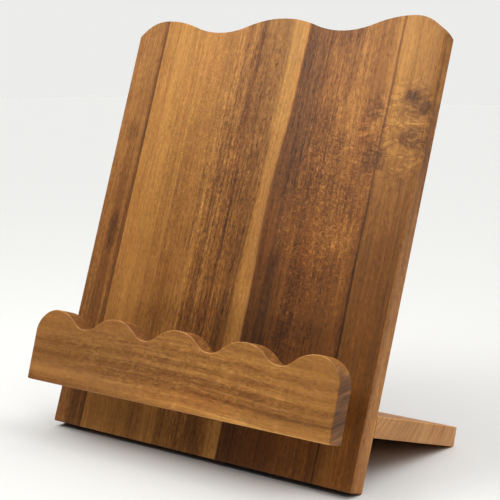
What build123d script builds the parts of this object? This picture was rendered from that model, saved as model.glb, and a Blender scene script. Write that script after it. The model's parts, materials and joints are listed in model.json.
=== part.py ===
from build123d import *
from math import cos, radians, sin, sqrt
import os

# A wooden stand for a cookbook or a tablet. A board of four edge-glued staves leans back, a shelf
# with a scalloped lip carries the book in front of it, and a foot behind holds it up. The shelf and
# the foot lie in one plane, which slopes down to the table behind the board.
# The origin is on the table, under the middle of the stand. +X is to the right, +Y to the back.

# Planks
plank_thickness = 13.0
arris_radius = 0.8
corner_radius = 1.2

# Back board, measured up its own slope from its lower front edge
board_width = 240.0
board_height = 286.0
board_lean = radians(20.2)
board_scallops = {"crests": 3, "pitch": 97.5, "depth": 9.0, "crest_share": 0.55, "shoulder_radius": 27.8}
board_shoulder_blend = 1.5
staves = {
    "back_stave_left": (None, -95.2),
    "back_stave_golden": (-95.2, 21.0),
    "back_stave_dark": (21.0, 92.2),
    "back_stave_right": (92.2, None),
}

# Ledge, the plane that the shelf and the foot share. Its lower face meets the back of the board at
# ledge_height, measured up the board.
ledge_slope = radians(17.3)
ledge_height = 33.4
shelf_length = 200.0
lip_gap = 20.8

# Lip
lip_length = 240.0
lip_height = 48.0
lip_drop = 6.5
lip_scallops = {"crests": 5, "pitch": 51.5, "depth": 10.0, "crest_share": 0.66, "shoulder_radius": 17.3}
lip_shoulder_blend = 1.0

# Dowels, which run along the ledge at half the thickness of its planks
through_dowel_radius = 4.0
through_dowel_stations = [-84.0, -28.0, 28.0, 84.0]
through_dowel_in_shelf = 12.0
through_dowel_in_foot = 25.0
lip_dowel_radius = 3.0
lip_dowel_stations = [-56.0, 0.0, 56.0]
lip_dowel_in_lip = 8.0
lip_dowel_in_shelf = 12.0
dowel_chamfer = 0.6
glue_gap = 0.05
end_gap = 1.0

# Heights. The board and the foot both touch the table with a rounded lower arris.
board_base_height = plank_thickness * sin(board_lean)
board_base_height += arris_radius * (1 - cos(board_lean) - sin(board_lean))
foot_root_height = board_base_height + ledge_height * cos(board_lean) - plank_thickness * sin(board_lean)
foot_length = arris_radius + (foot_root_height + arris_radius * (cos(ledge_slope) - 1)) / sin(ledge_slope)

# Places along the ledge, from the back of the board
board_crossing = plank_thickness / cos(board_lean - ledge_slope)
shelf_front = -board_crossing - lip_gap
lip_front = shelf_front - plank_thickness
through_dowel_start = -board_crossing - through_dowel_in_shelf
through_dowel_length = through_dowel_in_shelf + board_crossing + through_dowel_in_foot
lip_dowel_start = shelf_front - lip_dowel_in_lip
lip_dowel_length = lip_dowel_in_lip + lip_dowel_in_shelf

# Places from front to back. The stand reaches as far behind the origin as in front of it.
reach_front = (lip_front + arris_radius) * cos(ledge_slope)
reach_front += (arris_radius - lip_drop) * sin(ledge_slope) - arris_radius
reach_back = (foot_length - arris_radius) * cos(ledge_slope)
reach_back += (plank_thickness - arris_radius) * sin(ledge_slope) + arris_radius
foot_root_back = -(reach_front + reach_back) / 2
board_base_back = foot_root_back - ledge_height * sin(board_lean) - plank_thickness * cos(board_lean)

# Front face of the board: X across, Y up the slope, Z towards the reader
board_plane = Plane(
    origin=(0, board_base_back, board_base_height),
    x_dir=(1, 0, 0),
    z_dir=(0, -cos(board_lean), sin(board_lean)),
)
board_back_plane = board_plane.offset(-plank_thickness)

# Lower face of the shelf and the foot: X across, Y towards the back and down, Z upwards
ledge_plane = Plane(
    origin=(0, foot_root_back, foot_root_height),
    x_dir=(1, 0, 0),
    z_dir=(0, sin(ledge_slope), cos(ledge_slope)),
)

# Front face of the lip, square to the shelf: X across, Y up the lip, Z towards the reader
lip_plane = Plane(
    origin=ledge_plane.from_local_coords((0, lip_front, -lip_drop)),
    x_dir=(1, 0, 0),
    z_dir=-ledge_plane.y_dir,
)


def scalloped_outline(width, height, crests, pitch, depth, crest_share, shoulder_radius):
    """Draw a plank's outline, square below and wavy above. Crest and trough arcs meet in a common
    tangent, and a larger crest_share makes the crests rounder than the troughs."""
    half_width = width / 2
    last_crest = pitch * (crests - 1) / 2
    crest_reach = crest_share * pitch / 2
    turn_height = height - crest_share * depth
    shoulder_drop = shoulder_radius - sqrt(shoulder_radius**2 - (half_width - last_crest) ** 2)
    shoulder_height = height - shoulder_drop
    for index in range(crests - 1):
        left_turn = (index * pitch - last_crest + crest_reach, turn_height)
        trough = ((index + 0.5) * pitch - last_crest, height - depth)
        right_turn = ((index + 1) * pitch - last_crest - crest_reach, turn_height)
        ThreePointArc(left_turn, trough, right_turn)
    for index in range(1, crests - 1):
        middle = index * pitch - last_crest
        left_turn = (middle - crest_reach, turn_height)
        right_turn = (middle + crest_reach, turn_height)
        ThreePointArc(left_turn, (middle, height), right_turn)
    for side in (-1, 1):
        crest = (side * last_crest, height)
        turn = (side * (last_crest - crest_reach), turn_height)
        TangentArc(crest, turn, tangent=(-side, 0))
        TangentArc(crest, (side * half_width, shoulder_height), tangent=(side, 0))
    Polyline(
        (-half_width, shoulder_height),
        (-half_width, 0),
        (half_width, 0),
        (half_width, shoulder_height),
    )


def scalloped_plank(front_plane, width, height, scallops, shoulder_blend):
    """Cut one plank with a wavy top edge, from its front plane backwards."""
    with BuildSketch(front_plane) as outline:
        with BuildLine():
            scalloped_outline(width, height, **scallops)
        make_face()
        fillet(outline.vertices().group_by(Axis.Y)[0], corner_radius)
        for side in (0, -1):
            shoulder = outline.vertices().group_by(Axis.X)[side].sort_by(Axis.Y)[-1]
            fillet(shoulder, shoulder_blend)
    extrude(outline.sketch, amount=-plank_thickness)


def round_outline(plank):
    """Round the arrises around both broad faces."""
    broad_faces = plank.faces().sort_by(SortBy.AREA)[-2:]
    fillet(broad_faces.edges(), arris_radius)


def ledge_station(back):
    """A plane square across the ledge, at half the thickness of its planks: Z towards the back."""
    origin = ledge_plane.from_local_coords((0, back, plank_thickness / 2))
    return Plane(origin=origin, x_dir=(1, 0, 0), z_dir=ledge_plane.y_dir)


def dowel_circles(start, radius, stations):
    """The round sections of one row of dowels."""
    with BuildSketch(ledge_station(start)) as circles:
        with Locations([(station, 0) for station in stations]):
            Circle(radius)
    return circles.sketch


def drill(start, length, radius, stations):
    """Drill the holes for one row of dowels in the piece being built."""
    holes = dowel_circles(start - end_gap, radius + glue_gap, stations)
    extrude(holes, amount=length + 2 * end_gap, mode=Mode.SUBTRACT)


def drill_for_through_dowels():
    drill(through_dowel_start, through_dowel_length, through_dowel_radius, through_dowel_stations)


def drill_for_lip_dowels():
    drill(lip_dowel_start, lip_dowel_length, lip_dowel_radius, lip_dowel_stations)


def ledge_plank(length, front, back):
    """Lay one flat plank on the ledge plane, between two places along the ledge."""
    with BuildSketch(ledge_plane) as face:
        with Locations((0, front)):
            Rectangle(length, back - front, align=(Align.CENTER, Align.MIN))
    extrude(face.sketch, amount=plank_thickness)


def export_piece(piece, label):
    piece.part.label = label
    export_step(piece.part, f"parts/{label}.step")


os.makedirs("parts", exist_ok=True)

# The board is shaped and drilled as one glued blank, then parted at its glue lines
with BuildPart() as back_board:
    scalloped_plank(board_plane, board_width, board_height, board_scallops, board_shoulder_blend)
    round_outline(back_board)
    drill_for_through_dowels()

for stave_name, (left_joint, right_joint) in staves.items():
    with BuildPart() as stave:
        add(back_board.part)
        if left_joint is not None:
            split(bisect_by=Plane.YZ.offset(left_joint), keep=Keep.TOP)
        if right_joint is not None:
            split(bisect_by=Plane.YZ.offset(right_joint), keep=Keep.BOTTOM)
    export_piece(stave, stave_name)

# The shelf's rear edge is bevelled to lie flat on the board
with BuildPart() as shelf:
    ledge_plank(shelf_length, shelf_front, 0)
    split(bisect_by=board_plane, keep=Keep.TOP)
    fillet(shelf.edges().filter_by(Axis((0, 0, 0), ledge_plane.y_dir)), arris_radius)
    drill_for_through_dowels()
    drill_for_lip_dowels()
export_piece(shelf, "shelf")

with BuildPart() as lip:
    scalloped_plank(lip_plane, lip_length, lip_height, lip_scallops, lip_shoulder_blend)
    round_outline(lip)
    drill_for_lip_dowels()
export_piece(lip, "lip")

# The foot's front edge is bevelled to lie flat on the back of the board, and stays sharp
with BuildPart() as foot:
    ledge_plank(board_width, -board_crossing, foot_length)
    split(bisect_by=board_back_plane, keep=Keep.BOTTOM)
    glued_face = foot.faces().sort_by(Axis.Y)[0]
    fillet(foot.edges() - glued_face.edges(), arris_radius)
    drill_for_through_dowels()
export_piece(foot, "foot")

with BuildPart() as through_dowels:
    extrude(
        dowel_circles(through_dowel_start, through_dowel_radius, through_dowel_stations),
        amount=through_dowel_length,
    )
    chamfer(through_dowels.edges().filter_by(GeomType.CIRCLE), dowel_chamfer)
export_piece(through_dowels, "through_dowels")

with BuildPart() as lip_dowels:
    extrude(
        dowel_circles(lip_dowel_start, lip_dowel_radius, lip_dowel_stations),
        amount=lip_dowel_length,
    )
    chamfer(lip_dowels.edges().filter_by(GeomType.CIRCLE), dowel_chamfer)
export_piece(lip_dowels, "lip_dowels")
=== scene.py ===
"""A cookbook and tablet stand of oiled acacia, on a pale floor under soft studio light."""

import json
import math

import bpy
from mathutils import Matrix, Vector

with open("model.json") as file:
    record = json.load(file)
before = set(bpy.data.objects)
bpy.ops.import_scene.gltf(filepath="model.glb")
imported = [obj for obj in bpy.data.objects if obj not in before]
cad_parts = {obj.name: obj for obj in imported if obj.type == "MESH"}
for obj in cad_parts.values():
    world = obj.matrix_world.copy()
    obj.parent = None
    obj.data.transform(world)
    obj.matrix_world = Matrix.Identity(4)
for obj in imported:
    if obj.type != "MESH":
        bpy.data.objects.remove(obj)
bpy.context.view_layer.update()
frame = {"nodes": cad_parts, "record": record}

MM_PER_METRE = 1000.0

# Directions of the stand. The back rest is the board's front face, and the shelf and the foot share
# the slope of the shelf's top.
mount_axes = {mount["name"]: Vector(mount["axis"]) for mount in frame["record"]["mounts"]}
ACROSS = Vector((1, 0, 0))
BOARD_BACK = -mount_axes["back_rest"]
BOARD_UP = ACROSS.cross(BOARD_BACK)
LEDGE_UP = mount_axes["shelf_top"]
LEDGE_BACK = LEDGE_UP.cross(ACROSS)

# Directions of each kind of plank: across its grain, through its thickness and along its grain
BOARD_GRAIN = (ACROSS, BOARD_BACK, BOARD_UP)
LIP_GRAIN = (LEDGE_UP, LEDGE_BACK, ACROSS)
FLAT_GRAIN = (LEDGE_BACK, LEDGE_UP, ACROSS)
DOWEL_GRAIN = (ACROSS, LEDGE_UP, LEDGE_BACK)

STAVES = ["back_stave_left", "back_stave_golden", "back_stave_dark", "back_stave_right"]

# Camera
CAMERA_PLACE = Vector((0.4683, -0.6081, 0.2444))
CAMERA_AZIMUTH = math.radians(37.09)
CAMERA_ELEVATION = math.radians(11.08)
CAMERA_LENS = 87.2
CAMERA_SENSOR = 36.0
CAMERA_SHIFT_UP = 0.0994

# Stage. The sky lights the stand far less than the camera sees of it.
FLOOR_SIZE = 12.0
FLOOR_COLOUR = (0.715, 0.715, 0.70)
FLOOR_ROUGHNESS = 0.6
SKY_COLOUR = (0.84, 0.84, 0.825)
SKY_LIGHT = 0.08
SKY_SEEN = 1.0

# Oiled acacia, from its deepest brown heartwood to its palest sapwood: tone and linear colour
PALETTE = [
    (0.00, (0.020, 0.007, 0.002)),
    (0.25, (0.086, 0.031, 0.007)),
    (0.50, (0.213, 0.079, 0.017)),
    (0.75, (0.412, 0.178, 0.042)),
    (1.00, (0.670, 0.325, 0.083)),
]
GREYED = (0.88, 0.97, 1.35)
REDDENED = (1.06, 0.90, 0.86)
YELLOWED = (0.96, 1.06, 0.98)
UNTINTED = (1.0, 1.0, 1.0)
OIL_ROUGHNESS = 0.42
OIL_SPECULAR = 0.22
OIL_RELIEF = 0.35

# Bare beech
BEECH_DARK = (0.52, 0.33, 0.17)
BEECH_PALE = (0.62, 0.42, 0.24)
BEECH_FLECK = (0.30, 0.16, 0.07)
BEECH_ROUGHNESS = 0.60
BEECH_RELIEF = 0.3

# How deep the relief of the grain is, in metres
RELIEF_DEPTH = 0.0001

# All layers are cut from one noise. This is how far apart they lie in it, for each unit of a
# timber's seed and of a layer's number.
SEED_STEP = 7.3
LAYER_STEP = 17.1

# How much longer a cell of noise that runs along the rings is through the plank than across it
RING_STRETCH = 12.0

# Piths of the two logs that the staves come from: place across and depth, in millimetres
LEFT_PITH = (-330.0, 110.0)
RIGHT_PITH = (400.0, 120.0)

# The golden and the dark stave share a strip of sapwood, whose edges waver. A row has a place across
# and its reach, where the shift begins and ends along the grain, and the shift.
SAPWOOD_SWAYS = [
    (8.0, 14.0, 95.0, 225.0, 5.0),
    (8.0, 14.0, 60.0, 10.0, 2.5),
    (21.0, 11.0, 165.0, 240.0, 5.0),
    (21.0, 11.0, 155.0, 100.0, 2.2),
]

# The dark and the amber stave share a dark line along their joint: its place across, its width, how
# far it wanders, and its strength
DARK_JOINT = (92.2, 1.3, 1.6, 0.28)


def opaque(colour):
    """A colour with its alpha. A plain number is a grey."""
    return (*colour, 1.0) if isinstance(colour, tuple) else (colour, colour, colour, 1.0)


class Graph:
    """Builds one material's nodes. A value may be a plain number, a colour, a vector or a socket."""

    def __init__(self, name):
        self.material = bpy.data.materials.new(name)
        self.material.use_nodes = True
        self.tree = self.material.node_tree
        self.tree.nodes.clear()

    def node(self, kind, values=None, **settings):
        """Add a node. values gives what its sockets take, by name or by number."""
        made = self.tree.nodes.new(kind)
        for key, value in settings.items():
            setattr(made, key, value)
        for socket, value in (values or {}).items():
            self.feed(made.inputs[socket], value)
        return made

    def feed(self, socket, value):
        """Link a socket to another one, or set it to a constant."""
        if isinstance(value, bpy.types.NodeSocket):
            self.tree.links.new(value, socket)
        elif socket.type == "RGBA":
            socket.default_value = opaque(value)
        else:
            socket.default_value = value

    def compute(self, operation, *values):
        return self.node("ShaderNodeMath", dict(enumerate(values)), operation=operation).outputs[0]

    def chain(self, operation, *values):
        """Combine any number of values, one after the other."""
        result = values[0]
        for value in values[1:]:
            result = self.compute(operation, result, value)
        return result

    def add(self, *values):
        return self.chain("ADD", *values)

    def times(self, *values):
        return self.chain("MULTIPLY", *values)

    def largest(self, *values):
        return self.chain("MAXIMUM", *values)

    def minus(self, a, b):
        return self.compute("SUBTRACT", a, b)

    def over(self, a, b):
        return self.compute("DIVIDE", a, b)

    def size(self, value):
        return self.compute("ABSOLUTE", value)

    def dot(self, vector, direction):
        values = {0: vector, 1: direction}
        return self.node("ShaderNodeVectorMath", values, operation="DOT_PRODUCT").outputs["Value"]

    def vector(self, x, y, z):
        return self.node("ShaderNodeCombineXYZ", {0: x, 1: y, 2: z}).outputs[0]

    def smooth(self, value, start, end, from_value=0.0, to_value=1.0):
        """Goes smoothly from one value to the other as value goes from start to end."""
        values = {0: value, 1: start, 2: end, 3: from_value, 4: to_value}
        return self.node("ShaderNodeMapRange", values, interpolation_type="SMOOTHSTEP").outputs[0]

    def noise(self, place, detail=2.0, roughness=0.5, distortion=0.0):
        """Noise between about -1 and 1, with cells about one unit across."""
        values = {
            "Vector": place,
            "Scale": 1.0,
            "Detail": detail,
            "Roughness": roughness,
            "Distortion": distortion,
        }
        raw = self.node("ShaderNodeTexNoise", values).outputs[0]
        return self.times(self.minus(raw, 0.5), 3.0)

    def ramp(self, factor, stops):
        """A colour or a tone for a factor, from a list of places between 0 and 1 and their colours."""
        made = self.node("ShaderNodeValToRGB", {0: factor})
        elements = made.color_ramp.elements
        while len(elements) < len(stops):
            elements.new(0.5)
        for element, (position, colour) in zip(elements, stops):
            element.position = position
            element.color = opaque(colour)
        return made.outputs[0]

    def mix(self, factor, first, second, blend="MIX"):
        """Mix two colours. In a mix node they are inputs 6 and 7, and their mix is output 2."""
        values = {0: factor, 6: first, 7: second}
        return self.node("ShaderNodeMix", values, data_type="RGBA", blend_type=blend).outputs[2]

    def tinted(self, colour, tint):
        return self.mix(1.0, colour, tint, "MULTIPLY")

    def relief(self, height, strength):
        values = {"Strength": strength, "Distance": RELIEF_DEPTH, "Height": height}
        return self.node("ShaderNodeBump", values).outputs[0]

    def finish(self, **inputs):
        """Close the material with a shader. Keywords name the shader's sockets."""
        values = {key.replace("_", " "): value for key, value in inputs.items()}
        shader = self.node("ShaderNodeBsdfPrincipled", values)
        output = self.node("ShaderNodeOutputMaterial")
        self.tree.links.new(shader.outputs[0], output.inputs[0])
        return self.material


class Timber(Graph):
    """The solid timber of one plank, with its pith at a place across and a depth. Places in it are in
    millimetres across the grain, in depth from a broad face, and along the grain. They count from
    where the nodes begin, but a centred timber's places across count from the stand's middle. The
    grain wanders to the side by about as many millimetres as wander says."""

    def __init__(self, name, nodes, grain, pith, seed=0.0, wander=1.2, centred=False, sways=()):
        super().__init__(name)
        texture = self.node("ShaderNodeTexCoord")

        # How squarely the surface faces each direction, from 0 to 1
        self.facing = [self.size(self.dot(texture.outputs["Normal"], way)) for way in grain]

        place = []
        for direction in grain:
            start = 0.0 if centred and direction == ACROSS else lowest(nodes, direction)
            distance = self.dot(texture.outputs["Object"], direction * MM_PER_METRE)
            place.append(self.minus(distance, start * MM_PER_METRE))
        self.across, self.depth, self.along = place

        # The grain bends before the timber has its seed, so that it bends alike on both sides of a
        # joint. Near a place across, a sway shifts it sideways between two places along.
        self.seed = 0.0
        self.bend = self.add(
            self.layer(120.0, 150.0, 0.0, wander),
            self.layer(25.0, 38.0, 1.0, 0.5),
            self.layer(4.0, 6.0, 2.0, 0.22),
        )
        for at, reach, start, end, shift in sways:
            near = self.smooth(self.size(self.minus(self.across, at)), reach, 0.0)
            sway = self.smooth(self.along, start, end, 0.0, shift)
            self.bend = self.add(self.bend, self.times(near, sway))
        self.line = self.ring_place(pith)
        self.seed = seed

    def layer(self, width, length, number, strength, across=None, **settings):
        """One layer of noise, whose cells have a width and a length along the grain. Its number keeps
        it unlike the others. Given a ring's place for across, it also runs along the rings through
        the plank's thickness."""
        thickness = width if across is None else RING_STRETCH * width
        place = self.vector(
            self.over(self.across if across is None else across, width),
            self.over(self.depth, thickness),
            self.add(self.over(self.along, length), self.seed * SEED_STEP + number * LAYER_STEP),
        )
        return self.times(self.noise(place, **settings), strength)

    def ring_place(self, pith):
        """Where the growth ring through a point meets the plank's broad face."""
        pith_across, pith_depth = pith
        aside = self.minus(self.minus(self.across, self.bend), pith_across)
        below = self.minus(self.depth, pith_depth)
        squares = self.add(self.times(aside, aside), self.times(below, below), -pith_depth * pith_depth)
        reach = self.compute("SQRT", self.largest(squares, 1.0))
        return self.add(pith_across, self.times(reach, self.compute("SIGN", aside)))

    def bands(self, stops):
        """Tones across the plank, from a list of places and tones."""
        first = stops[0][0]
        span = stops[-1][0] - first
        scaled = [((place - first) / span, tone) for place, tone in stops]
        return self.ramp(self.over(self.minus(self.line, first), span), scaled)

    def patch(self, across, along, reach_across, reach_along):
        """1 at a place, falling to 0 at the ragged edge of an oval round it."""
        x = self.over(self.minus(self.line, across), reach_across)
        y = self.over(self.minus(self.along, along), reach_along)
        ragged = self.layer(6.0, 9.0, 5.0, 0.55, detail=4.0, roughness=0.7)
        return self.smooth(self.add(self.times(x, x), self.times(y, y), ragged), 1.0, 0.0)


def lowest(nodes, direction):
    """The smallest distance along a direction that some nodes' vertices reach."""
    return min(v.co.dot(direction) for name in nodes for v in frame["nodes"][name].data.vertices)


def grain_tone(timber, strength):
    """Streaks along the rings, from a centimetre wide down to a hair, with softer clouds. Returns the
    sum, and the streaks and hairs that also change the surface."""
    streaks = timber.layer(2.4, 150.0, 11.0, 0.15, timber.line, roughness=0.6)
    hairs = timber.layer(1.1, 20.0, 12.0, 0.13, timber.line, roughness=0.6)
    flecks = timber.layer(1.5, 3.8, 17.0, 0.15, timber.line, roughness=0.6, distortion=0.6)
    ribbons = timber.layer(8.0, 260.0, 10.0, 0.075, timber.line)
    clouds = timber.layer(16.0, 22.0, 13.0, 0.055)
    total = timber.add(ribbons, streaks, hairs, flecks, clouds)
    return timber.times(total, strength), streaks, hairs


def curl_tone(timber, across, along, reach_across, reach_along, cell_across, cell_along, strength):
    """Curly figure: pale ripples with thin dark edges, strongest in the middle of a patch."""
    aslant = timber.add(timber.across, timber.times(timber.depth, 0.7))
    x = timber.over(aslant, cell_across)
    y = timber.over(timber.along, cell_along)
    ripple = timber.noise(timber.vector(x, y, timber.seed), roughness=0.6, distortion=1.1)
    crinkle = timber.minus(timber.smooth(timber.size(ripple), 0.0, 0.4), 0.6)
    spread = timber.patch(across, along, reach_across, reach_along)
    return timber.times(timber.add(timber.times(ripple, 0.45), crinkle), spread, strength)


def line_tone(timber, across, width, wandering, strength):
    """A thin dark line along the grain, which wanders a little."""
    drift = timber.layer(400.0, 70.0, 20.0, wandering)
    gap = timber.size(timber.minus(timber.minus(timber.across, drift), across))
    return timber.smooth(gap, width, width * 0.2, 0.0, -strength)


def oiled_colour(timber, tone, tint, greyness):
    """The palette's colour for a tone, with patches that are redder or yellower."""
    colour = timber.tinted(timber.ramp(tone, PALETTE), tint)
    hue = timber.layer(22.0, 110.0, 16.0, 0.8, roughness=0.6)
    redness = timber.smooth(hue, 0.0, 1.0)
    yellowness = timber.smooth(hue, 0.0, -1.0)
    for amount, shade in ((redness, REDDENED), (yellowness, YELLOWED), (greyness, GREYED)):
        colour = timber.mix(amount, colour, timber.tinted(colour, shade))
    return colour


def acacia(
    timber, low, high, fade, contrast=1.0, tint=UNTINTED, ring_strength=0.13, end_tone=-0.20,
    streaky=(), curls=(), stains_and_painted_light=(), lines=(),
):
    """Finish a timber as oiled acacia.

    low and high are its bands of tone at the two ends of fade, a stretch along the grain. contrast is
    the strength of its grain and ring_strength that of the rings on its cut ends, and end_tone is
    added to the tone of its cut ends.
    Each row of streaky, of curls and of the stains and painted patches begins with the place of a patch
    across and along, and its reach across and along. It ends with the added contrast in streaky, with
    the size of the ripples across and along and their strength in curls, and in the stains and painted
    patches with how dark and how grey the patch is. A negative darkness makes it pale. Some of these
    patches are painted shade or painted light rather than stains.
    A row of lines has a place across, a width, how far the line wanders, and its strength."""
    ragged_along = timber.add(timber.along, timber.layer(14.0, 60.0, 9.0, 12.0))
    share = timber.smooth(ragged_along, *fade)
    tone = timber.mix(share, timber.bands(low), timber.bands(high))
    strength = contrast
    for *oval, boost in streaky:
        strength = timber.add(strength, timber.times(timber.patch(*oval), boost))
    grain_sum, streaks, hairs = grain_tone(timber, strength)
    tone = timber.add(tone, grain_sum)
    for curl in curls:
        tone = timber.add(tone, curl_tone(timber, *curl))
    for line in lines:
        tone = timber.add(tone, line_tone(timber, *line))
    greyness = 0.0
    # Stains darken or pale the tone and grey it; some rows are painted shade or painted light instead
    for *oval, darkness, grey in stains_and_painted_light:
        stain_and_painted_light_mask = timber.patch(*oval)
        tone = timber.minus(tone, timber.times(stain_and_painted_light_mask, darkness))
        greyness = timber.add(greyness, timber.times(stain_and_painted_light_mask, grey))

    # Pores: short open dashes along the grain, dark with oil, which are dots on a cut end
    pores = timber.smooth(timber.layer(0.7, 4.5, 14.0, 1.0, detail=1.0), 0.25, 0.70)
    tone = timber.minus(tone, timber.times(pores, strength, 0.15))

    # Cut ends show the rings. A surface that faces none of the three directions is an arris, which is paler:
    # partly wear, partly a painted highlight.
    end = timber.smooth(timber.facing[2], 0.10, 0.65)
    rings = timber.layer(2.4, 500.0, 15.0, ring_strength, timber.line, roughness=0.65)
    arris_wear_and_highlight = timber.smooth(timber.largest(*timber.facing), 0.97, 0.80)
    tone = timber.add(tone, timber.times(arris_wear_and_highlight, 0.17), timber.times(end, timber.add(rings, end_tone)))

    # Cut ends, pores and dark streaks are greyer. Cut ends and pores are also rougher.
    grey_end = timber.smooth(timber.facing[2], 0.6, 0.97)
    grey_pores = timber.times(pores, strength, 0.7)
    grey_streaks = timber.times(timber.smooth(streaks, 0.0, -0.10), 0.5)
    greyness = timber.compute("MINIMUM", timber.add(greyness, grey_end, grey_pores, grey_streaks), 1.0)
    worn = timber.add(timber.times(pores, 0.18), timber.times(end, 0.16), timber.times(streaks, -0.4))
    height = timber.minus(timber.times(hairs, 2.0), pores)
    return timber.finish(
        Base_Color=oiled_colour(timber, tone, tint, greyness),
        Roughness=timber.add(OIL_ROUGHNESS, worn),
        Normal=timber.relief(height, OIL_RELIEF),
        Specular_IOR_Level=OIL_SPECULAR,
    )


def stave_timber(name, pith, seed, sways=()):
    """Timber of one stave. The staves share the board's places: across from its middle, and along from
    its lower edge."""
    return Timber(name, STAVES, BOARD_GRAIN, pith, seed, centred=True, sways=sways)


def brown_stave():
    """Plain brown timber, with a darker band at its joint."""
    return acacia(
        stave_timber("acacia_brown", pith=LEFT_PITH, seed=3.0),
        low=[(-121, 0.52), (-111, 0.56), (-107, 0.44), (-103, 0.44), (-100, 0.58), (-98, 0.42), (-95, 0.40)],
        high=[(-121, 0.68), (-110, 0.72), (-101, 0.70), (-98.5, 0.60), (-97.2, 0.44), (-95, 0.50)],
        # Darker towards the bottom of the board: partly the wood's own tone, partly painted shade for light
        # that falls off down the board
        fade=(120.0, 270.0),
        contrast=0.9,
        tint=(1.0, 0.99, 1.05),
        stains_and_painted_light=[(-105.5, 136.0, 6.0, 18.0, 0.16, 0.5), (-108.0, 205.0, 9.0, 8.0, 0.08, 0.2)],
    )


def golden_stave():
    """Golden timber, browner and streakier towards a pale strip of sapwood on its right."""
    return acacia(
        stave_timber("acacia_golden", pith=LEFT_PITH, seed=5.0, sways=SAPWOOD_SWAYS),
        low=[
            (-95.5, 0.72), (-87, 0.70), (-80, 0.76), (-68, 0.66), (-64, 0.62), (-60, 0.70), (-54, 0.54),
            (-46, 0.60), (-33, 0.66), (-27, 0.46), (-22, 0.60), (-16, 0.50), (-8, 0.46), (2, 0.42),
            (7, 0.50), (9.5, 0.74), (17.6, 0.80), (19.2, 0.46), (23, 0.36),
        ],
        high=[
            (-95.5, 0.80), (-85, 0.87), (-75, 0.94), (-68, 0.85), (-63, 0.80), (-57, 0.85), (-40, 0.84),
            (-36.5, 0.73), (-32, 0.77), (-22, 0.64), (-16, 0.74), (-12, 0.62), (-8, 0.70), (0, 0.67),
            (7, 0.84), (9.5, 0.92), (14, 0.95), (17.6, 0.87), (19.2, 0.60), (23, 0.50),
        ],
        # Darker towards the bottom of the board: partly the wood's own tone, partly painted shade for light
        # that falls off down the board
        fade=(130.0, 285.0),
        contrast=0.78,
        tint=(1.01, 0.99, 0.90),
        streaky=[(-14.0, 150.0, 30.0, 200.0, 0.9)],
        curls=[(-35.0, 195.0, 60.0, 110.0, 2.8, 1.7, 0.13)],
        # A pale patch at the foot of the board, below the lip, is painted light bounced up from the floor;
        # the darker band just above the lip is painted shade
        stains_and_painted_light=[(-42.0, 8.0, 75.0, 32.0, -0.09, 0.0), (0.0, 82.0, 80.0, 22.0, 0.06, 0.0)],
    )


def dark_stave():
    """Chocolate heartwood that turns orange to the right and upwards, with curly figure. Its lightening
    upwards is partly painted light.
    """
    return acacia(
        stave_timber("acacia_dark", pith=RIGHT_PITH, seed=8.0, sways=SAPWOOD_SWAYS),
        low=[
            (15, 0.80), (17.6, 0.80), (19.2, 0.31), (32, 0.27), (42, 0.40), (50, 0.34), (62, 0.43),
            (74, 0.47), (82, 0.48), (93, 0.41),
        ],
        high=[
            (14, 0.95), (17.6, 0.87), (19.2, 0.56), (30, 0.48), (38, 0.56), (46, 0.62), (52, 0.66),
            (57, 0.68), (62, 0.62), (68, 0.82), (73, 0.74), (78, 0.64), (84, 0.66), (93, 0.88),
        ],
        # Darker towards the bottom of the board: partly the wood's own tone, partly painted shade for light
        # that falls off down the board
        fade=(90.0, 252.0),
        contrast=0.85,
        tint=(1.03, 0.93, 0.76),
        streaky=[(45.0, 240.0, 45.0, 90.0, 0.6)],
        curls=[
            (62.0, 165.0, 48.0, 90.0, 2.8, 2.4, 0.22),
            (62.0, 160.0, 40.0, 80.0, 7.0, 3.2, 0.10),
            (55.0, 95.0, 20.0, 40.0, 9.0, 5.0, 0.12),
            (86.0, 212.0, 16.0, 36.0, 14.0, 5.0, 0.18),
        ],
        stains_and_painted_light=[
            # A long grey stain beside the sapwood, and a dark one below the top edge
            (30.0, 215.0, 14.0, 90.0, 0.06, 0.6),
            (56.0, 277.0, 14.0, 24.0, 0.11, 0.3),
            # Small stains by the dark joint, with a pale spot between them
            (83.0, 228.0, 7.0, 10.0, 0.07, 0.4),
            (86.0, 216.0, 6.0, 6.0, -0.10, 0.0),
            (87.0, 196.0, 7.0, 12.0, 0.13, 0.4),
            # A broad pale cloud in the curly patch, and below it a band of painted shade just above the lip
            (52.0, 146.0, 42.0, 30.0, -0.08, 0.0),
            (58.0, 82.0, 60.0, 22.0, 0.07, 0.0),
            # Narrow pale streaks
            (33.0, 158.0, 7.0, 28.0, -0.14, 0.0),
            (63.0, 222.0, 7.0, 18.0, -0.14, 0.0),
            (79.0, 146.0, 9.0, 15.0, -0.12, 0.0),
        ],
        lines=[DARK_JOINT],
    )


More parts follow.
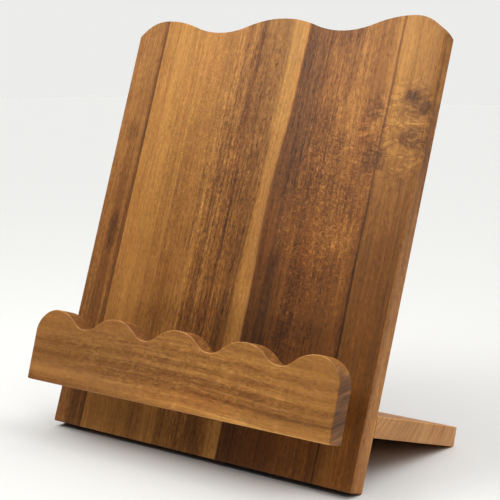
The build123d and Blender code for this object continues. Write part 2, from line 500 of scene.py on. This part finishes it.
def amber_stave():
    """Amber timber, browner below, with a knot and curly figure beneath it."""
    return acacia(
        stave_timber("acacia_amber", pith=RIGHT_PITH, seed=13.0),
        low=[(91, 0.46), (98, 0.44), (104, 0.50), (112, 0.42), (120, 0.44), (123, 0.66), (127, 0.68)],
        high=[(91, 0.84), (96, 0.95), (104, 0.82), (112, 0.84), (120, 0.72), (123, 0.38), (127, 0.34)],
        # Darker towards the bottom of the board: partly the wood's own tone, partly painted shade for light
        # that falls off down the board
        fade=(110.0, 270.0),
        contrast=0.7,
        tint=(1.0, 0.95, 0.80),
        curls=[(106.0, 214.0, 26.0, 42.0, 12.0, 5.0, 0.22)],
        stains_and_painted_light=[
            # The knot, its halo, and a second stain beside it
            (109.0, 235.0, 6.5, 5.5, 0.27, 0.3),
            (110.0, 232.0, 13.0, 11.0, 0.10, 0.2),
            (118.0, 228.0, 5.0, 6.0, 0.20, 0.4),
            # Pale and dark patches beneath the knot
            (108.0, 219.0, 18.0, 4.5, -0.12, 0.0),
            (113.0, 210.0, 11.0, 9.0, 0.12, 0.3),
            (95.0, 196.0, 5.0, 9.0, 0.16, 0.3),
            (108.0, 196.0, 14.0, 10.0, -0.14, 0.0),
            # A pale patch at the stave's foot, below the lip, which is painted light bounced up from the
            # floor, and its side face, whose rings run on past the front face's edge
            (106.0, 8.0, 22.0, 30.0, -0.07, 0.0),
            (127.5, 265.0, 7.5, 72.0, -0.26, 0.0),
            (127.5, 45.0, 7.5, 30.0, -0.12, 0.0),
        ],
        lines=[DARK_JOINT],
    )


def striped_lip():
    """Striped timber with soft ripples, greyer to the left, and cut ends much darker than its face."""
    timber = Timber(
        "acacia_lip", ["lip"], LIP_GRAIN, pith=(-90.0, 50.0), seed=21.0, wander=3.0,
        sways=[(22.0, 60.0, 90.0, 235.0, -4.0)],
    )
    return acacia(
        timber,
        low=[
            (-1, 0.44), (3, 0.55), (9, 0.76), (13, 0.64), (17, 0.57), (20, 0.50), (24, 0.62), (28, 0.53),
            (33, 0.66), (38, 0.61), (44, 0.62), (49, 0.62),
        ],
        high=[
            (-1, 0.66), (4, 0.92), (7, 0.71), (10, 0.70), (14, 0.53), (18, 0.68), (21, 0.57), (25, 0.75),
            (28, 0.62), (31, 0.77), (35, 0.62), (40, 0.76), (44, 0.66), (49, 0.70),
        ],
        fade=(20.0, 190.0),
        contrast=0.5,
        ring_strength=0.07,
        # Darker cut ends; on the slopes of the scalloped top edge the darkening is partly painted shade
        end_tone=-0.30,
        streaky=[(24.0, 165.0, 30.0, 120.0, 0.35)],
        curls=[(28.0, 120.0, 26.0, 110.0, 1.5, 3.2, 0.08), (26.0, 115.0, 34.0, 140.0, 5.0, 15.0, 0.09)],
        stains_and_painted_light=[(22.0, 50.0, 34.0, 100.0, 0.0, 0.35)],
    )


def pale_foot():
    """Pale golden timber, with cut ends as pale as its faces."""
    return acacia(
        Timber("acacia_foot", ["foot"], FLAT_GRAIN, pith=(-45.0, 70.0), seed=27.0, wander=3.0),
        low=[(0, 0.62), (30, 0.70), (55, 0.60), (80, 0.72), (106, 0.66)],
        high=[(0, 0.78), (30, 0.70), (55, 0.84), (80, 0.76), (106, 0.84)],
        fade=(0.0, 240.0),
        contrast=0.7,
        tint=(1.02, 0.99, 1.05),
        ring_strength=0.07,
        end_tone=0.02,
    )


def plain_shelf():
    """Even brown timber."""
    return acacia(
        Timber("acacia_shelf", ["shelf"], FLAT_GRAIN, pith=(-80.0, 60.0), seed=33.0, wander=2.0),
        low=[(-2, 0.55), (10, 0.60), (25, 0.56)],
        high=[(-2, 0.58), (12, 0.54), (25, 0.60)],
        fade=(0.0, 200.0),
    )


def beech():
    """Bare turned beech: pale, with short dark flecks along the grain."""
    timber = Timber("dowel_beech", ["lip_dowels"], DOWEL_GRAIN, pith=(-60.0, 40.0), seed=41.0, wander=0.5)
    flecks = timber.smooth(timber.layer(0.5, 2.2, 1.0, 1.0, timber.line), 0.35, 0.8)
    rings = timber.layer(1.6, 90.0, 2.0, 0.5, timber.line)
    colour = timber.mix(timber.smooth(rings, -0.5, 0.5), BEECH_DARK, BEECH_PALE)
    return timber.finish(
        Base_Color=timber.mix(timber.times(flecks, 0.5), colour, BEECH_FLECK),
        Roughness=timber.add(BEECH_ROUGHNESS, timber.times(flecks, 0.1)),
        Normal=timber.relief(flecks, BEECH_RELIEF),
    )


def dress(node, material):
    """Give a CAD node its finished material."""
    mesh = frame["nodes"][node].data
    for index in range(len(mesh.materials)):
        mesh.materials[index] = material


def dress_stand():
    dress("back_stave_left", brown_stave())
    dress("back_stave_golden", golden_stave())
    dress("back_stave_dark", dark_stave())
    dress("back_stave_right", amber_stave())
    dress("lip", striped_lip())
    dress("foot", pale_foot())
    dress("shelf", plain_shelf())
    dowel_wood = beech()
    dress("through_dowels", dowel_wood)
    dress("lip_dowels", dowel_wood)


def make_floor():
    bpy.ops.mesh.primitive_plane_add(size=FLOOR_SIZE)
    floor = bpy.context.object
    floor.name = "floor"
    pale = Graph("pale_floor")
    floor.data.materials.append(
        pale.finish(Base_Color=FLOOR_COLOUR, Roughness=FLOOR_ROUGHNESS, Specular_IOR_Level=0.0)
    )


def add_light(name, data, place, target):
    """Aim a light at a target from its place. Of a sun, only the direction counts."""
    light = bpy.data.objects.new(name, data)
    light.location = place
    light.rotation_euler = (Vector(target) - Vector(place)).to_track_quat("-Z", "Y").to_euler()
    bpy.context.scene.collection.objects.link(light)


def make_panel(name, place, target, width, power, colour):
    data = bpy.data.lights.new(name, "AREA")
    data.shape = "SQUARE"
    data.size = width
    data.energy = power
    data.color = colour
    add_light(name, data, place, target)


def make_sky_patch(name, side, spread, strength):
    """Soft white light from one side of the sky, spread over an angle in degrees."""
    data = bpy.data.lights.new(name, "SUN")
    data.angle = math.radians(spread)
    data.energy = strength
    add_light(name, data, side, (0.0, 0.0, 0.0))


def make_lights():
    """A warm panel in front on the left, light from straight above, and a window behind on the right."""
    make_panel(
        "key", place=(-0.30, -0.42, 0.72), target=(0.0, 0.0, 0.18), width=0.40, power=2.5,
        colour=(1.0, 0.98, 0.95),
    )
    make_sky_patch("overhead", side=(0.0, 0.0, 1.0), spread=100.0, strength=2.7)
    make_sky_patch("window", side=(1.0, 0.6, 0.8), spread=70.0, strength=1.5)


def make_sky():
    """A dim sky, which the camera sees as pale as the far floor."""
    world = bpy.data.worlds.new("studio")
    world.use_nodes = True
    nodes = world.node_tree.nodes
    links = world.node_tree.links
    strength = nodes.new("ShaderNodeMix")
    strength.inputs["A"].default_value = SKY_LIGHT
    strength.inputs["B"].default_value = SKY_SEEN
    links.new(nodes.new("ShaderNodeLightPath").outputs["Is Camera Ray"], strength.inputs["Factor"])
    links.new(strength.outputs["Result"], nodes["Background"].inputs["Strength"])
    nodes["Background"].inputs["Color"].default_value = opaque(SKY_COLOUR)
    bpy.context.scene.world = world


def make_camera():
    data = bpy.data.cameras.new("camera")
    data.lens = CAMERA_LENS
    data.sensor_width = CAMERA_SENSOR
    data.shift_y = CAMERA_SHIFT_UP
    camera = bpy.data.objects.new("camera", data)
    camera.location = CAMERA_PLACE
    camera.rotation_euler = (math.pi / 2 - CAMERA_ELEVATION, 0, CAMERA_AZIMUTH)
    bpy.context.scene.collection.objects.link(camera)
    bpy.context.scene.camera = camera


bpy.context.scene.view_settings.view_transform = "Standard"
make_camera()
make_lights()
make_sky()
make_floor()
dress_stand()
